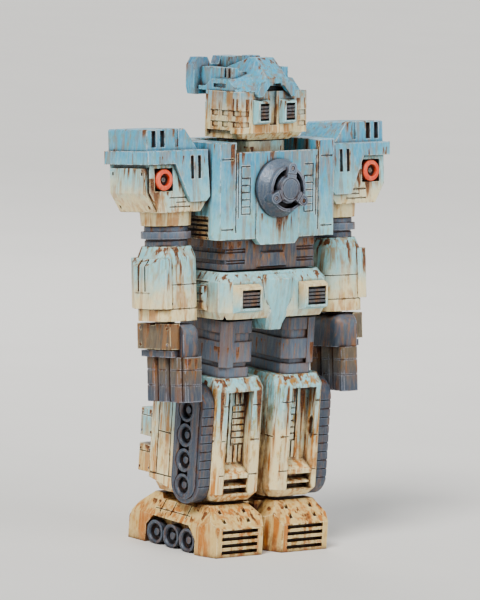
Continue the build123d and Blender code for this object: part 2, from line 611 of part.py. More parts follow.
# ---------------------------------------------------------------- legs (left side)
def thigh_block():
    """Stacked thigh: two groove bands, cropped front corners, hinge tongue on top."""
    bands = ((SHIN_TOP, 57.8, 0.5, 1.9), (57.8, 59.4, 1.1, 1.9), (59.4, 65.7, 0.0, 1.9),
             (65.7, 68.4, 0.8, 1.9), (68.4, HIP_Z - 0.2, 0.2, 1.9))
    solid = None
    for z0, z1, inset, corner in bands:
        outline = cropped(THIGH_IN + inset, THIGH_OUT - inset, THIGH_FRONT + inset,
                          THIGH_BACK - inset, corner)
        level = plan(outline, z0, z1)
        solid = level if solid is None else solid + level
    strip_outline = [(THIGH_OUT - 4.4, THIGH_FRONT - 0.1), (THIGH_OUT - 1.8, THIGH_FRONT - 0.1),
                     (THIGH_OUT + 0.0, THIGH_FRONT + 1.8), (THIGH_OUT - 2.6, THIGH_FRONT + 3.4)]
    solid = solid + plan(strip_outline, 57.9, HIP_Z - 0.2)
    tongue = box(8.0, 17.0, -5.0, 5.0, HIP_Z - 2, 78.6)
    tongue = tongue & rod_x(HIP_Y, HIP_Z, 6.4, 0, 30)
    solid = solid + tongue
    peg = box(8.6, 16.4, -6.0, 6.0, 46.0, SHIN_TOP)
    solid = solid + peg - rod_x(0, KNEE_Z, KNEE_PIN_RADIUS, 0, 30)
    return solid - rod_x(HIP_Y, HIP_Z, HIP_PIN_RADIUS + RUN_GAP, 0, THIGH_OUT - 2.3)


def knee_pin():
    """Pin that locks the thigh peg into the shin."""
    return rod_x(0, KNEE_Z, KNEE_PIN_RADIUS, 5.0, 20.0)


def shin_plan(front_y, back_y, inset, corner):
    """Shin outline in plan with its front corners cut off."""
    x0 = SHIN_IN + inset
    x1 = SHIN_OUT - inset
    return [(x0 + corner, front_y), (x1 - corner, front_y), (x1, front_y + corner),
            (x1, back_y), (x0, back_y), (x0, front_y + corner)]


SHIN_SPLIT = -10.6
RECESS = (7.8, 17.8, 18.9, 50.6)


def shin_front():
    """Front frame of the shin round a deep recess with ribs and two shelves."""
    rings = [[(x, y, z) for x, y in shin_plan(front_y, SHIN_SPLIT, inset, corner)]
             for z, front_y, inset, corner in ((SHIN_BOTTOM, -13.6, 1.8, 1.6),
                                               (19.0, SHIN_FRONT, 0.0, 2.1),
                                               (51.4, SHIN_FRONT, 0.0, 2.1),
                                               (SHIN_TOP, -13.7, 0.6, 1.8))]
    frame = loft_rings(rings)
    x0, x1, z0, z1 = RECESS
    tools = [box(x0, x1, -30, -11.8, z0, z1)]
    for z in (24.6, 35.4, 46.2):
        tools.append(box(0, x0, -30, SHIN_FRONT + 0.35, z, z + 0.4))
        tools.append(box(x1, 40, -30, SHIN_FRONT + 0.35, z, z + 0.4))
    tools.append(box(0, SHIN_IN + 0.35, -30, 0, 35.4, 35.8))
    tools.append(box(SHIN_OUT - 0.35, 40, -30, 0, 35.4, 35.8))
    frame = cut_all(frame, tools)
    shelves = [profile([(-15.6, 23.6), (-15.6, 24.8), (-11.8, 27.6), (-11.8, 23.6)], x0, x1)]
    shelves.append(profile([(-15.2, 20.6), (-15.2, 21.2), (-11.8, 22.2), (-11.8, 20.6)], x0, x1))
    ladder = [box(x0, 12.6, -12.3, -11.8, z, z + 1.5) for z in
              (34.0, 36.0, 38.0, 40.0, 42.0, 44.0)]
    ladder += [box(x, x + 1.1, -12.3, -11.8, 28.2, 33.4) for x in (8.4, 10.2, 12.0)]
    ladder.append(box(13.2, 14.0, -12.4, -11.8, 28.2, 50.0))
    ladder += [box(x, x + 1.0, -12.3, -11.8, 46.2, 50.4) for x in (8.6, 10.6)]
    for piece in shelves + ladder:
        frame = frame + piece
    port = [(-14.4, 34.2), (-13.2, 35.6), (-13.2, 40.4), (-14.4, 41.8), (-15.3, 40.4), (-15.3, 35.6)]
    return frame - profile(port, x1 - 0.01, x1 + 1.2)


SHIN_BACK = 12.0
TRACK_OUT = 26.3
TRACK_Y = -7.1
TRACK_HALF = 6.6
TRACK_BACK = TRACK_Y + TRACK_HALF + 0.1
TRACK_LOW = 15.4
TRACK_HIGH = 52.6


def shin_rear():
    """Rear half of the shin with the side panel behind the track."""
    rings = [[(x, y, z) for x, y in ((SHIN_IN + i, SHIN_SPLIT), (SHIN_OUT - i, SHIN_SPLIT),
                                     (SHIN_OUT - i, SHIN_BACK - i), (SHIN_IN + i, SHIN_BACK - i))]
             for z, i in ((SHIN_BOTTOM, 0.9), (18.6, 0.0), (51.8, 0.0), (SHIN_TOP, 0.8))]
    body = loft_rings(rings)
    side = profile([(TRACK_BACK, 18.0), (SHIN_BACK, 20.4), (SHIN_BACK, 49.4),
                    (TRACK_BACK, 51.4)], SHIN_OUT - 0.5, 24.4)
    body = body + side
    tools = [box(8.5, 16.5, -6.1, 6.1, 45.9, 60)]
    tools.append(rod_x(0, KNEE_Z, KNEE_PIN_RADIUS, 5.0, 20.0))
    tools.append(box(20, 40, TRACK_BACK, 20, 21.8, 22.2))
    tools += [box(23.9, 40, y, y + 0.4, 21.8, 50.2) for y in (2.4, 8.4)]
    tools.append(box(23.9, 40, 2.6, 8.6, 35.2, 35.6))
    tools += [box(0, SHIN_IN + 0.4, y, y + 0.5, 20, 50) for y in (-6.0, 3.0)]
    tools.append(box(0, SHIN_IN + 0.4, -9.0, 10.0, 35.4, 35.9))
    tools.append(rod_z(ANKLE_X, 0, ANKLE_RADIUS, 10, 22.0))
    return cut_all(body, tools)


def shin_boxes():
    """Two screwed boxes on the back of the shin."""
    pair = None
    for z0, z1 in ((32.6, 41.0), (21.4, 29.8)):
        block = plan(cropped(7.0, 23.4, SHIN_BACK, 19.4, 0.9), z0, z1)
        dots = [rod_x(y, z, 0.4, 23.0, 30) for y in (13.4, 17.9) for z in (z0 + 1.4, z1 - 1.4)]
        dots.append(box(22.9, 30, 11, 20, z0 + 6.2, z0 + 6.5))
        dots += [rod_y(x, (z0 + z1) / 2, 0.6, 19.0, 30) for x in (10.0, 20.0)]
        block = cut_all(block, dots)
        pair = block if pair is None else pair + block
    return pair


WHEEL_RADIUS = 3.6
WHEEL_Y = -6.2
WHEEL_BACK = 23.8
ROAD_WHEELS = [20.8 + 7.8 * step for step in range(4)]


def track_loop(half, x0, x1):
    """The track's side outline: straight runs and half-round ends."""
    low = TRACK_LOW + TRACK_HALF
    high = TRACK_HIGH - TRACK_HALF
    loop = rod_x(TRACK_Y, low, half, x0, x1) + rod_x(TRACK_Y, high, half, x0, x1)
    return loop + box(x0, x1, TRACK_Y - half, TRACK_Y + half, low, high)


def shin_track():
    """Link track with cross grooves, a stepped rim and four round wheel seats."""
    track = track_loop(TRACK_HALF, SHIN_OUT, TRACK_OUT)
    rim = track_loop(TRACK_HALF + 1, TRACK_OUT - 0.45, 40) - track_loop(TRACK_HALF - 1.3, 20, 41)
    tools = [rod_x(WHEEL_Y, z, WHEEL_RADIUS + 0.1, WHEEL_BACK, 40) for z in ROAD_WHEELS]
    tools.append(box(WHEEL_BACK + 0.8, 40, WHEEL_Y - 2.4, WHEEL_Y + 2.4, ROAD_WHEELS[0],
                     ROAD_WHEELS[-1]))
    tools.append(rim)
    front_y = TRACK_Y - TRACK_HALF
    for row in range(10):
        z = 21.2 + row * 2.7
        tools.append(box(19, 40, front_y - 1, front_y + 0.35, z, z + 0.35))
    return cut_all(track, tools)


def dished_wheel(y, z, radius, back, rim):
    """A ring wheel with a deep sunk face and a low hub."""
    wheel = rod_x(y, z, radius, back, rim)
    wheel = wheel - rod_x(y, z, radius - 1.15, back + 0.6, rim)
    lip = Pos(rim - 0.25, y, z) * Rot(0, 90, 0) * Cone(radius - 1.15, radius - 0.75, 0.52)
    hub = Pos(back + 1.0, y, z) * Rot(0, 90, 0) * Cone(radius * 0.42, radius * 0.3, 1.0)
    return wheel - lip + hub


def shin_wheels():
    """Four road wheels pressed into the track."""
    wheels = None
    for z in ROAD_WHEELS:
        wheel = dished_wheel(WHEEL_Y, z, WHEEL_RADIUS, WHEEL_BACK, TRACK_OUT - 0.2)
        wheels = wheel if wheels is None else wheels + wheel
    return wheels


FOOT_WHEELS = (-7.7, 0.0, 7.7)
FOOT_WHEEL_RADIUS = 3.7


def foot_shell():
    """Sloped toe with three vents, arched wheel opening, heel guard and ankle peg."""
    side = [(-FOOT_HALF_LENGTH, 0), (-FOOT_HALF_LENGTH, 8.7), (-13.6, SOLE_TOP - 0.4),
            (-9.4, SOLE_TOP - 0.4), (-8.4, SOLE_TOP - 1.6), (8.0, SOLE_TOP - 1.6),
            (9.4, SOLE_TOP), (12.6, SOLE_TOP), (17.4, 11.6), (FOOT_HALF_LENGTH, 6.8),
            (FOOT_HALF_LENGTH, 0)]
    shell = profile(side, FOOT_IN, FOOT_OUT)
    for x, cut in ((FOOT_OUT, -2.3), (FOOT_IN, 2.8)):
        toe = -FOOT_HALF_LENGTH
        shell = shell - plan([(x + cut, toe), (x + cut, toe - 1), (x - cut, toe - 1),
                              (x - cut, toe + 11.2), (x, toe + 5.6)], -1, 30)
    slope_outer = front([(FOOT_OUT + 0.01, 9.0), (FOOT_OUT + 0.01, 30), (20.6, 30),
                         (20.6, SOLE_TOP + 0.1)], -30, 30)
    slope_inner = front([(FOOT_IN - 0.01, 10.5), (FOOT_IN - 0.01, 30), (6.0, 30),
                         (6.0, SOLE_TOP + 0.1)], -30, -9.0)
    shell = cut_all(shell, [slope_outer, slope_inner])
    tools = []
    for z in (1.0, 3.1, 5.2, 7.3):
        tools.append(box(6.0, 20.3, -30, -FOOT_HALF_LENGTH + 2.6, z, z + 1.15))
    for y, z in ((-15.3, 12.0), (-17.8, 9.6)):
        tools += [box(x - 0.6, x + 0.6, y - 0.6, y + 0.6, z, z + 5) for x in (8.6, 18.2)]
    arch = profile([(-12.0, -1), (-12.0, 4.6), (-8.6, 8.6), (8.6, 8.9), (11.8, 5.6), (11.8, -1)],
                   FOOT_OUT - 3.0, 40)
    tools.append(arch)
    tools.append(box(23.0, 40, -7.6, 9.0, 11.0, 11.3))
    tools += [box(20.0, 40, y, y + 0.4, 10.0, 20) for y in (-6.4, 0.8, 6.0)]
    tools.append(box(8, 18, FOOT_HALF_LENGTH - 1.0, 30, 2.0, 5.4))
    return cut_all(shell, tools) + rod_z(ANKLE_X, 0, ANKLE_RADIUS - 0.05, 9.0, 21.8)


def foot_wheels():
    """Three road wheels in the side of the foot, on one backing bar."""
    wheels = box(FOOT_OUT - 3.0, FOOT_OUT - 2.4, -11.4, 11.4, 1.0, 4.4)
    for y in FOOT_WHEELS:
        wheel = dished_wheel(y, FOOT_WHEEL_RADIUS, FOOT_WHEEL_RADIUS, FOOT_OUT - 2.6,
                             FOOT_OUT - 0.3)
        wheels = wheels + wheel
    return wheels


# ---------------------------------------------------------------- assembly
LEVEL, TORSO, ARM = 0, 1, 2


def leaned(shape, group):
    """Turns an upright piece to the stance of its group."""
    if group == ARM:
        shape = shape.rotate(Axis((0, 0, SHOULDER_HEIGHT), (1, 0, 0)), ARM_LEAN)
    if group in (TORSO, ARM):
        shape = shape.rotate(Axis((0, 0, HIP_HEIGHT), (1, 0, 0)), TORSO_LEAN)
    return shape


MIDDLE_PIECES = {
    pelvis_shell: TORSO, crotch_guard: TORSO, hip_vents: TORSO, hip_packs: TORSO,
    hip_axle: TORSO, waist_post: TORSO, waist_block: TORSO, chest_front: TORSO,
    chest_back: TORSO, torso_core: TORSO, shoulder_axle: TORSO, rib_vents: TORSO,
    chest_disc: TORSO, neck_post: TORSO, face_block: TORSO, eye_vents: TORSO,
    helmet: TORSO, head_rear_plate: TORSO,
}
SIDE_PIECES = {
    shoulder_box: ARM, shoulder_cap: ARM, shoulder_panel: ARM, lamp_ring: ARM, lamp_hub: ARM,
    arm_rings: ARM, arm_peg: ARM, forearm_barrel: ARM, forearm_plate: ARM, hand_block: ARM,
    hand_plate: ARM, fingers: ARM, thigh_block: LEVEL, knee_pin: LEVEL, shin_front: LEVEL,
    shin_rear: LEVEL, shin_boxes: LEVEL, shin_track: LEVEL, shin_wheels: LEVEL,
    foot_shell: LEVEL, foot_wheels: LEVEL,
}


def write(shape, name):
    """One STEP file for one piece."""
    export_step(shape, f"parts/{name}.step")


os.makedirs("parts", exist_ok=True)
for make, group in MIDDLE_PIECES.items():
    write(leaned(make(), group), make.__name__)
for make, group in SIDE_PIECES.items():
    left = leaned(make(), group)
    write(left, make.__name__ + "_left")
    write(left.mirror(Plane.YZ), make.__name__ + "_right")
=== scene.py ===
"""Weathered paint and small fittings for the humanoid robot kit; the paint's dark recesses are partly
painted shade and its worn edges partly a painted highlight.

Object coordinates are the row frame in metres, so the paint stays with each piece as it moves.
Small fittings are laid out upright in millimetres and then leaned with their body.
"""

import math

import bmesh
import bpy
from mathutils import Matrix, Vector


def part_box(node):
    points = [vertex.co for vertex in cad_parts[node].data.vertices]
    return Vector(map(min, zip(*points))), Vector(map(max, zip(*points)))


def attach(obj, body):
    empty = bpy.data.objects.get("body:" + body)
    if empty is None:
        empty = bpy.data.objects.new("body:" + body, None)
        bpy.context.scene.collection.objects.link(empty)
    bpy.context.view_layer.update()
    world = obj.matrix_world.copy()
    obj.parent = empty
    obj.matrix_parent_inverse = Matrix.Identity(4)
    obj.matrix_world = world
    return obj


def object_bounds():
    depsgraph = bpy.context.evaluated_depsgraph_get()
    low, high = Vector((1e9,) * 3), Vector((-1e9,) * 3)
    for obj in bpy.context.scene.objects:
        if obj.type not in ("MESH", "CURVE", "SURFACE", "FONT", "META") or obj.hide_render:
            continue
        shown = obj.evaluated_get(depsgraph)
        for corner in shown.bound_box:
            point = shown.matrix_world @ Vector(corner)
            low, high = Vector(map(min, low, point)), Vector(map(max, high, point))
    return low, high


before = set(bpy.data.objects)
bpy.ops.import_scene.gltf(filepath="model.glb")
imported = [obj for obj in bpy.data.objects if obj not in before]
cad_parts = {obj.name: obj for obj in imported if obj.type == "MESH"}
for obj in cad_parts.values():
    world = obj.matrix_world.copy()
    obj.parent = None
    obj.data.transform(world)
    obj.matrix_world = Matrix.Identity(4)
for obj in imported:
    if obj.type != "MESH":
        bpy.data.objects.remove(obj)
cad_low, cad_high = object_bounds()
MM = 0.001


# ---------------------------------------------------------------- colours
def colour(red, green, blue):
    """A display colour, 0 to 255, as the linear colour that shaders use."""
    def linear(value):
        value /= 255
        return value / 12.92 if value <= 0.04045 else ((value + 0.055) / 1.055) ** 2.4
    return (linear(red), linear(green), linear(blue), 1.0)


SKY = colour(62, 170, 208)
PALE_BLUE = colour(146, 216, 226)
DEEP_BLUE = colour(44, 134, 176)
CREAM = colour(248, 230, 176)
SAND = colour(226, 194, 122)
RUST_DARK = colour(58, 27, 9)
RUST = colour(122, 62, 10)
RUST_LIGHT = colour(200, 128, 44)
STEEL = colour(98, 116, 138)
STEEL_DARK = colour(58, 70, 88)
STEEL_LIGHT = colour(178, 184, 200)
BROWN_GREY = colour(92, 80, 64)
GUNMETAL = colour(60, 58, 60)
# Colours of the dark wash in the recesses. It is laid where occlusion falls, so it is painted shade as
# well as the kit's own wash.
BLACK_WASH_AND_SHADE = colour(20, 17, 18)
BROWN_WASH_AND_SHADE = colour(44, 22, 12)
ORANGE = colour(244, 68, 20)


# ---------------------------------------------------------------- shader building
class Graph:
    """Short calls for one material's nodes."""

    def __init__(self, name):
        self.material = bpy.data.materials.new(name)
        self.material.use_nodes = True
        self.tree = self.material.node_tree
        self.tree.nodes.clear()

    def add(self, kind, inputs=None, **settings):
        node = self.tree.nodes.new(kind)
        for key, value in settings.items():
            setattr(node, key, value)
        for key, value in (inputs or {}).items():
            if isinstance(value, bpy.types.NodeSocket):
                self.tree.links.new(value, node.inputs[key])
            else:
                node.inputs[key].default_value = value
        return node

    def math(self, operation, first, second=0.0):
        node = self.add("ShaderNodeMath", {0: first, 1: second}, operation=operation)
        return node.outputs[0]

    def band(self, value, low, high, to_low=0.0, to_high=1.0):
        """Value taken from low..high to to_low..to_high, clamped, with smooth ends."""
        inputs = {"Value": value, "From Min": low, "From Max": high,
                  "To Min": to_low, "To Max": to_high}
        return self.add("ShaderNodeMapRange", inputs, interpolation_type="SMOOTHSTEP").outputs[0]

    def mix(self, factor, first, second, blend="MIX"):
        node = self.add("ShaderNodeMix", {0: factor, 6: first, 7: second},
                        data_type="RGBA", blend_type=blend)
        return node.outputs[2]

    def noise(self, at, scale, detail=3.0, rough=0.55, stretch=(1, 1, 1), shift=0.0):
        """Fractal noise; scale is features per millimetre, stretched along each axis."""
        place = {"Vector": at, "Scale": stretch, "Location": (shift, shift * 0.7, shift * 1.3)}
        moved = self.add("ShaderNodeMapping", place).outputs[0]
        inputs = {"Vector": moved, "Scale": scale, "Detail": detail, "Roughness": rough}
        return self.add("ShaderNodeTexNoise", inputs).outputs["Fac"]

    def millimetres(self):
        where = self.add("ShaderNodeTexCoord").outputs["Object"]
        return self.add("ShaderNodeVectorMath", {0: where, "Scale": 1000.0},
                        operation="SCALE").outputs[0]

    def occlusion(self, reach):
        return self.add("ShaderNodeAmbientOcclusion", {"Distance": reach},
                        samples=8).outputs["AO"]

    def edge(self, radius):
        """Near 1 where the surface turns a corner."""
        rounded = self.add("ShaderNodeBevel", {"Radius": radius}, samples=4).outputs[0]
        flat = self.add("ShaderNodeNewGeometry").outputs["Normal"]
        along = self.add("ShaderNodeVectorMath", {0: rounded, 1: flat},
                         operation="DOT_PRODUCT").outputs["Value"]
        return self.band(self.math("SUBTRACT", 1.0, along), 0.01, 0.12)

    def finish(self, colour_in, roughness, height, strength, metallic=0.0):
        bump = self.add("ShaderNodeBump", {"Height": height, "Strength": strength,
                                           "Distance": 0.00025}).outputs[0]
        inputs = {"Base Color": colour_in, "Roughness": roughness, "Normal": bump,
                  "Metallic": metallic}
        shader = self.add("ShaderNodeBsdfPrincipled", inputs)
        self.add("ShaderNodeOutputMaterial", {"Surface": shader.outputs[0]})
        return self.material


def drip_mask(g, at, height, drips, seed, scale):
    """Streaks that start at each height and fade downwards, each column its own length."""
    column = g.noise(at, 1.0, 3.0, 0.62, stretch=(scale * 0.8, scale * 0.8, 0.03), shift=seed)
    reach = g.noise(at, 1.0, 1.0, 0.5, stretch=(scale * 0.8, scale * 0.8, 0.003), shift=seed + 5)
    flow = g.noise(at, 1.0, 2.0, 0.6, stretch=(scale * 1.5, scale * 1.5, 0.16), shift=seed + 9)
    reach = g.band(reach, 0.36, 0.64, 0.25, 1.0)
    mask = 0.0
    across = g.math("ABSOLUTE", g.add("ShaderNodeSeparateXYZ", {0: at}).outputs["X"])
    for start, length, strength, width in drips:
        below = g.math("DIVIDE", g.math("SUBTRACT", start, height), g.math("MULTIPLY", reach, length))
        fade = g.math("MULTIPLY", g.band(below, -0.03, 0.02), g.band(below, 1.1, -0.1))
        lane = g.band(column, 0.62 - 0.14 * strength, 0.70 - 0.10 * strength)
        streak = g.math("MULTIPLY", g.math("MULTIPLY", fade, lane), g.band(flow, 0.2, 0.6, 0.55, 1.0))
        streak = g.math("MULTIPLY", streak, g.band(across, width, width - 2, 0.0, 0.4 + 0.6 * strength))
        mask = g.math("MAXIMUM", mask, streak)
    return mask


def brushed(g, height, low, high, top, bottom, fade, strokes, noises):
    """Paint that fades from top to bottom, cloudy and brushed."""
    cloud, brush, blotch = noises["cloud"], noises["brush"], noises["blotch"]
    level = g.add("ShaderNodeMapRange", {"Value": height, "From Min": low, "From Max": high}).outputs[0]
    level = g.math("ADD", level, g.math("MULTIPLY", g.math("SUBTRACT", cloud, 0.5), 1.1 * strokes))
    base = g.mix(g.band(level, fade[0], fade[1]), bottom, top)
    base = g.mix(g.band(brush, 0.40, 0.68, 0.0, 0.26 * strokes), base,
                 g.mix(0.6, base, CREAM, "SCREEN"))
    return g.mix(g.band(blotch, 0.52, 0.36, 0.0, 0.35 * strokes), base,
                 g.mix(1.0, base, base, "MULTIPLY"))


def rusted(g, at, base, rust, drip, seed, drip_scale, noises):
    """Adds rust blotches, old stained lanes and the drips, and gives the drips' own colour."""
    cloud, brush, grain, blotch = (noises[key] for key in ("cloud", "brush", "grain", "blotch"))
    tint = g.math("MULTIPLY", g.band(blotch, 0.46, 0.66), g.band(brush, 0.34, 0.60))
    base = g.mix(g.math("MULTIPLY", tint, rust), base, g.mix(1.0, base, SAND, "MULTIPLY"))
    base = g.mix(g.math("MULTIPLY", g.band(blotch, 0.60, 0.72), 0.75 * rust), base, RUST_LIGHT)

    lanes = g.noise(at, 1.0, 3.0, 0.6, stretch=(drip_scale, drip_scale, 0.03), shift=seed + 23)
    old = g.math("MULTIPLY", g.band(lanes, 0.47, 0.60), g.band(cloud, 0.30, 0.56))
    tinged = g.math("MAXIMUM", g.band(drip, 0.02, 0.5, 0.0, 0.8), g.math("MULTIPLY", old, rust))
    stained = g.mix(0.55, g.mix(1.0, base, RUST_LIGHT, "MULTIPLY"), RUST_LIGHT)
    base = g.mix(tinged, base, stained)
    drip_colour = g.mix(g.band(grain, 0.38, 0.62), RUST, RUST_DARK)
    base = g.mix(g.band(drip, 0.22, 0.66, 0.0, 0.95), base, drip_colour)
    return base, drip_colour


def worn_down(g, base, rust, wash, wash_colour, worn, edge_colour, drip_colour, noises):
    """Adds rust seepage and a dark wash in the recesses, both also painted shade, pale worn edges that
    are also a painted highlight, and rust spots on the edges.
    """
    blotch = noises["blotch"]
    shade = g.occlusion(0.0024)
    wide = g.occlusion(0.008)
    # Rust seepage in the wide hollows, placed by occlusion, so it is painted shade there as well as
    # rust.
    seep_and_shade = g.math("MULTIPLY", g.band(wide, 0.80, 0.35), g.band(blotch, 0.34, 0.56))
    base = g.mix(g.math("MULTIPLY", seep_and_shade, min(1.0, 0.5 + rust)), base,
                 g.mix(0.75, base, RUST, "MULTIPLY"))
    # Dark wash in the recesses, placed by occlusion: painted shade as well as the kit's own wash.
    base = g.mix(g.band(shade, 0.80, 0.38, 0.0, wash), base, wash_colour)
    # Pale colour on the outer corners, broken up by noise: partly worn paint and partly a painted
    # highlight along the edges.
    edge = g.edge(0.00055)
    ridge = g.math("MULTIPLY", edge, g.band(shade, 0.62, 0.85))
    chip_and_highlight = g.math("MULTIPLY", ridge, g.band(blotch, 0.60, 0.50))
    pale = edge_colour or g.mix(0.9, base, CREAM, "SCREEN")
    base = g.mix(g.math("MULTIPLY", chip_and_highlight, worn), base, pale)
    spot = g.math("MULTIPLY", g.band(edge, 0.1, 0.5), g.band(blotch, 0.50, 0.56))
    return g.mix(g.math("MULTIPLY", spot, 0.9 * min(1.0, rust + 0.3)), base, drip_colour), spot


def weathered(name, top, bottom, low, high, rust=0.5, drips=(), wash=0.9, worn=0.85,
              rough=0.5, metallic=0.0, seed=0.0, edge_colour=None, wash_colour=BROWN_WASH_AND_SHADE,
              fade=(0.1, 0.9), drip_scale=0.6, strokes=1.0):
    """Brushed paint that fades from top to bottom, with rust drips, dark recesses that are partly
    painted shade and worn edges that are partly a painted highlight.

    low and high are the piece's heights.  Drips are (height, length, strength, how far out from
    the middle plane they reach), all in mm.
    """
    g = Graph(name)
    at = g.millimetres()
    height = g.add("ShaderNodeSeparateXYZ", {0: at}).outputs["Z"]
    noises = {"cloud": g.noise(at, 0.13, 4.0, 0.6, shift=seed),
              "brush": g.noise(at, 1.0, 3.0, 0.6, stretch=(1.3, 1.3, 0.2), shift=seed + 3),
              "grain": g.noise(at, 2.2, 3.0, 0.65, shift=seed + 7),
              "blotch": g.noise(at, 0.5, 4.0, 0.62, stretch=(1, 1, 0.45), shift=seed + 13)}
    base = brushed(g, height, low, high, top, bottom, fade, strokes, noises)
    drip = drip_mask(g, at, height, drips, seed + 11, drip_scale)
    base, drip_colour = rusted(g, at, base, rust, drip, seed, drip_scale, noises)
    base, spot = worn_down(g, base, rust, wash, wash_colour, worn, edge_colour, drip_colour, noises)

    stain = g.math("MAXIMUM", drip, spot)
    roughness = g.band(g.math("ADD", noises["grain"], g.math("MULTIPLY", stain, 0.3)), 0.3, 0.9,
                       rough - 0.12, min(0.95, rough + 0.3))
    bumps = g.math("ADD", g.math("MULTIPLY", noises["grain"], 0.8),
                   g.math("MULTIPLY", noises["brush"], 0.9))
    bumps = g.math("SUBTRACT", bumps, g.math("MULTIPLY", stain, 0.3))
    return g.finish(base, roughness, bumps, 0.6, metallic)


# ---------------------------------------------------------------- paint of each piece
def style(top=SKY, bottom=CREAM, **rest):
    return dict(top=top, bottom=bottom, **rest)


EVERYWHERE = 100
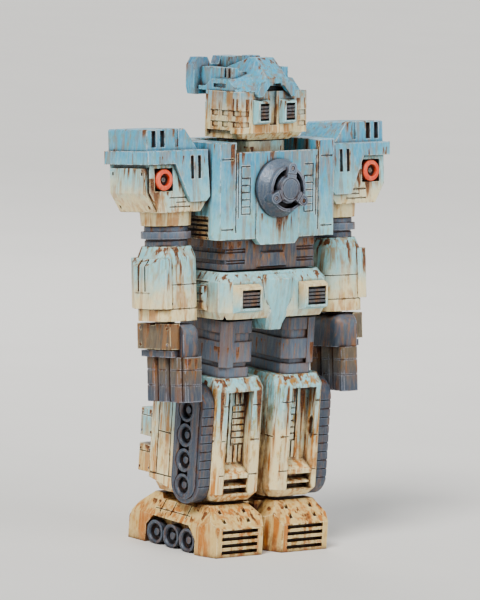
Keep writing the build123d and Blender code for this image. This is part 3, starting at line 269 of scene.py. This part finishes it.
# Drips here are (share of the piece's height from its bottom, length in mm, strength) and, where
# they keep to the middle, how far out they reach in mm.
# wash sets how dark the painted shade in each piece's recesses is. worn sets how strongly its outer
# edges take the pale colour, which is partly wear and partly a painted highlight.
STYLES = {
    "pelvis_shell": style(PALE_BLUE, CREAM, rust=0.5, drips=[(0.97, 11, 0.8)], fade=(-0.1, 0.9)),
    "crotch_guard": style(PALE_BLUE, PALE_BLUE, rust=0.35, drips=[(1.0, 6, 0.6)]),
    "hip_vents": style(CREAM, PALE_BLUE, rust=0.4, wash=0.97, wash_colour=BLACK_WASH_AND_SHADE),
    "hip_packs": style(PALE_BLUE, CREAM, rust=0.6, drips=[(0.95, 8, 0.8)]),
    "hip_axle": style(STEEL, STEEL_DARK, rust=0.3),
    "waist_post": style(STEEL, STEEL_DARK, rust=0.3),
    "waist_block": style(STEEL_DARK, STEEL_DARK, rust=0.35, drips=[(0.95, 9, 0.9)], strokes=0.5,
                         edge_colour=STEEL),
    "chest_front": style(SKY, PALE_BLUE, rust=0.5, fade=(-0.1, 0.75),
                         drips=[(0.985, 24, 0.66), (0.31, 13, 1.0, 8)]),
    "chest_back": style(SKY, PALE_BLUE, rust=0.6, drips=[(0.98, 18, 0.85)]),
    "torso_core": style(STEEL_DARK, BROWN_GREY, rust=0.5),
    "shoulder_axle": style(STEEL, STEEL_DARK, rust=0.3),
    "rib_vents": style(BROWN_GREY, RUST_DARK, rust=0.9, drips=[(1.0, 7, 1.0)], wash=1.0,
                       wash_colour=BLACK_WASH_AND_SHADE),
    "chest_disc": style(STEEL, STEEL_DARK, rust=0.12, metallic=0.3, rough=0.36, wash=0.95,
                        edge_colour=STEEL_LIGHT, wash_colour=BLACK_WASH_AND_SHADE, strokes=0.35),
    "neck_post": style(PALE_BLUE, CREAM, rust=0.6, drips=[(0.5, 4, 0.8)]),
    "face_block": style(SKY, CREAM, rust=0.9, drips=[(0.86, 13, 0.85)], fade=(0.2, 1.25)),
    "eye_vents": style(PALE_BLUE, PALE_BLUE, rust=0.35, wash=1.0, wash_colour=BLACK_WASH_AND_SHADE,
                       drips=[(1.0, 6, 0.6)]),
    "helmet": style(SKY, SKY, rust=0.6, drips=[(0.99, 12, 0.8)], edge_colour=PALE_BLUE),
    "head_rear_plate": style(DEEP_BLUE, SKY, rust=0.4, drips=[(0.97, 9, 0.6)],
                             edge_colour=PALE_BLUE),
    "shoulder_box": style(PALE_BLUE, CREAM, rust=0.8, drips=[(0.80, 17, 0.9)], fade=(0.0, 0.95)),
    "shoulder_cap": style(SKY, PALE_BLUE, rust=0.5, drips=[(1.0, 9, 0.7), (0.64, 14, 0.75)],
                          fade=(-0.1, 0.75)),
    "shoulder_panel": style(PALE_BLUE, CREAM, rust=0.5, drips=[(1.0, 14, 0.9)]),
    "lamp_ring": style(ORANGE, ORANGE, rust=0.05, wash=0.7, worn=0.2, rough=0.4),
    "lamp_hub": style(STEEL_DARK, STEEL_DARK, rust=0.2, rough=0.4, metallic=0.3),
    "arm_rings": style(STEEL, STEEL_DARK, rust=0.3, drips=[(1.0, 6, 0.5)], metallic=0.2,
                       rough=0.42, edge_colour=STEEL_LIGHT, strokes=0.35),
    "arm_peg": style(STEEL, STEEL_DARK, rust=0.3),
    "forearm_barrel": style(PALE_BLUE, CREAM, rust=0.75, drips=[(0.99, 20, 0.85)],
                            fade=(0.05, 0.95)),
    "forearm_plate": style(PALE_BLUE, CREAM, rust=0.5, drips=[(1.0, 18, 0.9)],
                           fade=(0.1, 0.9)),
    "hand_block": style(STEEL, STEEL_DARK, rust=0.5, drips=[(0.98, 9, 0.7)], metallic=0.2,
                        rough=0.42, edge_colour=STEEL_LIGHT, strokes=0.35),
    "hand_plate": style(BROWN_GREY, BROWN_GREY, rust=0.5, drips=[(1.0, 9, 0.9)], strokes=0.5),
    "fingers": style(BROWN_GREY, STEEL_DARK, rust=0.3, drips=[(0.97, 14, 0.85)], metallic=0.15,
                     rough=0.45, edge_colour=STEEL_LIGHT, drip_scale=0.4, strokes=0.35),
    "thigh_block": style(STEEL_DARK, STEEL, rust=0.3, drips=[(0.56, 9, 0.75)], metallic=0.15,
                         rough=0.48, edge_colour=BROWN_GREY, strokes=0.35),
    "knee_pin": style(STEEL, STEEL_DARK, rust=0.3),
    "shin_front": style(PALE_BLUE, CREAM, rust=1.0, drips=[(1.0, 9, 0.8), (0.90, 34, 1.0)],
                        fade=(0.25, 0.95)),
    "shin_rear": style(PALE_BLUE, CREAM, rust=0.9, drips=[(0.97, 22, 0.95)], fade=(0.3, 1.0)),
    "shin_boxes": style(PALE_BLUE, SAND, rust=0.7, drips=[(1.0, 6, 0.8), (0.42, 6, 0.8)]),
    "shin_track": style(STEEL_DARK, STEEL_DARK, rust=0.25, drips=[(0.98, 12, 0.5)], metallic=0.15,
                        rough=0.48, wash_colour=BLACK_WASH_AND_SHADE, edge_colour=STEEL, strokes=0.35),
    "shin_wheels": style(STEEL_DARK, STEEL_DARK, rust=0.25, metallic=0.25, rough=0.42, wash=0.98,
                         wash_colour=BLACK_WASH_AND_SHADE, edge_colour=STEEL, strokes=0.35),
    "foot_shell": style(SAND, SAND, rust=1.0, drips=[(1.0, 15, 1.0), (0.62, 10, 0.9)],
                        drip_scale=0.45),
    "foot_wheels": style(STEEL_DARK, STEEL_DARK, rust=0.25, metallic=0.25, rough=0.42, wash=0.98,
                         wash_colour=BLACK_WASH_AND_SHADE, edge_colour=STEEL, strokes=0.35),
}


def base_name(node):
    """The piece's name without its side."""
    for side in ("_left", "_right"):
        if node.endswith(side):
            return node[:-len(side)]
    return node


def soften(piece, width):
    """Rounds every sharp corner a little, so that it catches the light."""
    weld = piece.modifiers.new("weld", "WELD")
    weld.merge_threshold = 0.000002
    bevel = piece.modifiers.new("bevel", "BEVEL")
    bevel.width = width
    bevel.segments = 2
    bevel.limit_method = "ANGLE"
    bevel.angle_limit = math.radians(28)
    bevel.use_clamp_overlap = True
    bevel.harden_normals = True


EDGE_ROUNDING = 0.00014
SOFT_EDGED = {"hand_block": 0.0003, "fingers": 0.0006, "shoulder_cap": 0.0002,
              "shoulder_box": 0.0002, "foot_shell": 0.0002, "forearm_plate": 0.0002}


# ---------------------------------------------------------------- small fittings
HIP_HEIGHT = 70
SHOULDER_HEIGHT = 115
TORSO_LEAN = math.radians(-4.4)
ARM_LEAN = math.radians(-2.68)


def turned_about(height, angle):
    """A turn about the X line at that height in mm."""
    pivot = Matrix.Translation((0, 0, height * MM))
    return pivot @ Matrix.Rotation(angle, 4, "X") @ pivot.inverted()


LEVEL = Matrix.Identity(4)
TORSO = turned_about(HIP_HEIGHT, TORSO_LEAN)
ARM = TORSO @ turned_about(SHOULDER_HEIGHT, ARM_LEAN)


def piece_from(bm, name, body, stance, material):
    """Makes one shown piece from a bmesh drawn upright in mm."""
    mesh = bpy.data.meshes.new(name)
    bm.transform(stance @ Matrix.Scale(MM, 4))
    bmesh.ops.recalc_face_normals(bm, faces=bm.faces[:])
    bm.to_mesh(mesh)
    bm.free()
    mesh.materials.append(material)
    piece = bpy.data.objects.new(name, mesh)
    bpy.context.scene.collection.objects.link(piece)
    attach(piece, body)
    return piece


def add_prism(bm, outline, x0, x1):
    """An outline in Y, Z carried from x0 to x1."""
    ends = [[bm.verts.new((x, y, z)) for y, z in outline] for x in (x0, x1)]
    count = len(outline)
    for i in range(count):
        j = (i + 1) % count
        bm.faces.new((ends[0][i], ends[0][j], ends[1][j], ends[1][i]))
    bm.faces.new(ends[0])
    bm.faces.new(ends[1])


# Each ring of a bolt head: (share of the radius, share of the height).
BOLT_STEPS = ((1.0, 0.0), (1.0, 0.55), (0.72, 1.0), (0.42, 1.0), (0.36, 0.55))
BOLT_SIDES = 12


def add_bolt(bm, at, outward, radius, height):
    """A chamfered bolt head with a round socket."""
    out = Vector(outward).normalized()
    across = out.orthogonal().normalized()
    other = out.cross(across)
    rings = []
    for share, up in BOLT_STEPS:
        ring = []
        for step in range(BOLT_SIDES):
            angle = 2 * math.pi * step / BOLT_SIDES
            offset = (across * math.cos(angle) + other * math.sin(angle)) * radius * share
            ring.append(bm.verts.new(Vector(at) + offset + out * height * up))
        rings.append(ring)
    for lower, upper in zip(rings, rings[1:]):
        for i in range(BOLT_SIDES):
            j = (i + 1) % BOLT_SIDES
            bm.faces.new((lower[i], lower[j], upper[j], upper[i]))
    bm.faces.new(rings[-1])
    bm.faces.new(rings[0])


# Louvre panels: inner edge, outer edge, bottom, top, front of the housing, rim width, blades.
# A blade's outline starts at the front of the housing: (depth, height from its middle).
EYE_PANEL = (2.9, 7.5, 132.0, 138.3, -15.3, 0.5, 4)
HIP_PANEL = (8.9, 17.5, 74.9, 81.9, -19.4, 0.7, 4)
BLADE = ((0.30, -0.42), (0.42, 0.30), (1.7, 0.42), (1.7, -0.34))
BLADE_GAP = 0.05
BLADE_ROUNDING = 0.00008


def louvres(name, body, panel, material):
    """Dark slanted blades that sleeve the moulded ones in both housings."""
    x0, x1, z0, z1, face, rim, blades = panel
    bm = bmesh.new()
    pitch = (z1 - z0 - 2 * rim) / (blades + 1)
    for side in (-1, 1):
        inner = side * (x0 + rim + BLADE_GAP)
        outer = side * (x1 - rim - BLADE_GAP)
        for row in range(1, blades + 1):
            z = z0 + rim + row * pitch
            add_prism(bm, [(face + deep, z + up) for deep, up in BLADE], inner, outer)
    soften(piece_from(bm, name, body, TORSO, material), BLADE_ROUNDING)


def bolts(name, body, stance, places, outward, size, material):
    """A group of bolt heads on one body, where size is (radius, height)."""
    bm = bmesh.new()
    for place in places:
        add_bolt(bm, place, outward, *size)
    piece_from(bm, name, body, stance, material)


DISC_HEIGHT = 111.8
DISC_LUG_FACE = -21.25
DISC_LUG_RADIUS = 6.4
DISC_LUG_ANGLES = (84, 204, 324)
DISC_BOLT = (0.62, 0.55)
HAND_OUT = 38.3
HAND_BOLT = (0.44, 0.75)
BOX_OUT = 23.0
BOX_BACK = 19.0
BOX_BOLT = (0.36, 0.6)
BOX_STUD = (0.55, 0.7)


def disc_lug(angle):
    """The middle of the chest disc's lug at that angle."""
    turn = math.radians(angle)
    return (DISC_LUG_RADIUS * math.cos(turn), DISC_LUG_FACE,
            DISC_HEIGHT + DISC_LUG_RADIUS * math.sin(turn))


def fittings():
    blade_paint = weathered("louvre_paint", GUNMETAL, GUNMETAL, 70, 140, rust=0.25, worn=0.6,
                            rough=0.45, strokes=0.4, seed=401.0, edge_colour=STEEL)
    louvres("eye_louvres", "head", EYE_PANEL, blade_paint)
    louvres("hip_louvres", "pelvis", HIP_PANEL, blade_paint)
    bolt_paint = weathered("bolt_paint", BROWN_GREY, STEEL_DARK, 0, 120, rust=0.8, worn=0.9,
                           rough=0.45, strokes=0.4, seed=433.0, edge_colour=STEEL_LIGHT)
    lugs = [disc_lug(angle) for angle in DISC_LUG_ANGLES]
    bolts("disc_bolts", "torso", TORSO, lugs, (0, -1, 0), DISC_BOLT, bolt_paint)
    for side, sign in (("left", 1), ("right", -1)):
        hand = [(sign * HAND_OUT, y, z) for y in (-7.6, 5.2) for z in (64.4, 69.4)]
        bolts("hand_bolts_" + side, "hand_" + side, ARM, hand, (sign, 0, 0), HAND_BOLT, bolt_paint)
        sides = [(sign * BOX_OUT, y, z) for y in (13.4, 17.9) for z in (22.8, 28.4, 34.0, 39.6)]
        bolts("box_bolts_" + side, "leg_" + side, LEVEL, sides, (sign, 0, 0), BOX_BOLT, bolt_paint)
        backs = [(sign * x, BOX_BACK, z) for x in (10.0, 20.0) for z in (25.6, 36.8)]
        bolts("box_studs_" + side, "leg_" + side, LEVEL, backs, (0, 1, 0), BOX_STUD, bolt_paint)


# ---------------------------------------------------------------- painting the frame
def paint_nodes():
    for number, (name, piece) in enumerate(sorted(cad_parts.items())):
        key = base_name(name)
        low, high = (corner.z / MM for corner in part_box(name))
        look = dict(STYLES[key])
        look["drips"] = [(low + share * (high - low), length, strength, (width or [EVERYWHERE])[0])
                         for share, length, strength, *width in look.get("drips", ())]
        material = weathered("paint_" + name, low=low, high=high, seed=number * 5.3, **look)
        for slot in piece.material_slots:
            slot.material = material
        soften(piece, SOFT_EDGED.get(key, EDGE_ROUNDING))


paint_nodes()
fittings()


# ---------------------------------------------------------------- floor, light and camera
FLOOR_HALF = 3.0


def floor():
    mesh = bpy.data.meshes.new("floor")
    corners = [(-1, -1), (1, -1), (1, 1), (-1, 1)]
    mesh.from_pydata([(x * FLOOR_HALF, y * FLOOR_HALF, 0) for x, y in corners],
                     [], [(0, 1, 2, 3)])
    plane = bpy.data.objects.new("floor", mesh)
    bpy.context.scene.collection.objects.link(plane)
    g = Graph("floor")
    speck = g.noise(g.millimetres(), 0.02, 4.0)
    tone = g.mix(speck, colour(228, 226, 222), colour(236, 234, 230))
    plane.data.materials.append(g.finish(tone, 0.9, speck, 0.05))


def direction_at(azimuth, elevation):
    """The direction from the robot at that azimuth and elevation in degrees."""
    a, e = math.radians(azimuth), math.radians(elevation)
    return Vector((math.sin(a) * math.cos(e), -math.cos(a) * math.cos(e), math.sin(e)))


def add_light(name, kind, away, energy, tint):
    """A light that shines against the away direction."""
    data = bpy.data.lights.new(name, kind)
    data.energy = energy
    data.color = tint
    light = bpy.data.objects.new(name, data)
    light.rotation_mode = "QUATERNION"
    light.rotation_quaternion = (-away).to_track_quat("-Z", "Y")
    bpy.context.scene.collection.objects.link(light)
    return light


def area_light(name, azimuth, elevation, distance, size, power, tint=(1, 1, 1)):
    """A square soft light aimed at the middle of the robot."""
    away = direction_at(azimuth, elevation)
    light = add_light(name, "AREA", away, power, tint)
    light.data.size = size
    light.location = (cad_low + cad_high) / 2 + away * distance


def sun(name, azimuth, elevation, spread, strength, tint):
    """Even soft light from one direction."""
    light = add_light(name, "SUN", direction_at(azimuth, elevation), strength, tint)
    light.data.angle = math.radians(spread)


def studio():
    sun("key", -64, 50, 22, 3.4, (1.0, 0.98, 0.94))
    sun("fill", 20, 28, 50, 1.2, (0.95, 0.98, 1.0))
    area_light("rim", 150, 35, 0.7, 0.3, 1.5)
    world = bpy.data.worlds.new("studio")
    bpy.context.scene.world = world
    world.use_nodes = True
    background = world.node_tree.nodes["Background"]
    background.inputs["Color"].default_value = (0.86, 0.88, 0.90, 1)
    background.inputs["Strength"].default_value = 0.45


CAMERA_AZIMUTH = -40.55
CAMERA_ELEVATION = 8.26
CAMERA_ROLL = 3.5
CAMERA_DISTANCE = 2.163
CAMERA_TARGET = Vector((-0.002, 0.0, 0.0763))
CAMERA_LENS = 420.4


def camera():
    back = direction_at(CAMERA_AZIMUTH, CAMERA_ELEVATION)
    level_right = (-back).cross(Vector((0, 0, 1))).normalized()
    level_up = level_right.cross(-back)
    roll = math.radians(CAMERA_ROLL)
    right = level_right * math.cos(roll) + level_up * math.sin(roll)
    up = level_up * math.cos(roll) - level_right * math.sin(roll)
    data = bpy.data.cameras.new("camera")
    data.lens = CAMERA_LENS
    data.clip_start = 0.05
    data.clip_end = 20
    seen_from = bpy.data.objects.new("camera", data)
    turned = Matrix((right, up, back)).transposed().to_4x4()
    seen_from.matrix_world = Matrix.Translation(CAMERA_TARGET + back * CAMERA_DISTANCE) @ turned
    bpy.context.scene.collection.objects.link(seen_from)
    bpy.context.scene.camera = seen_from


floor()
studio()
camera()
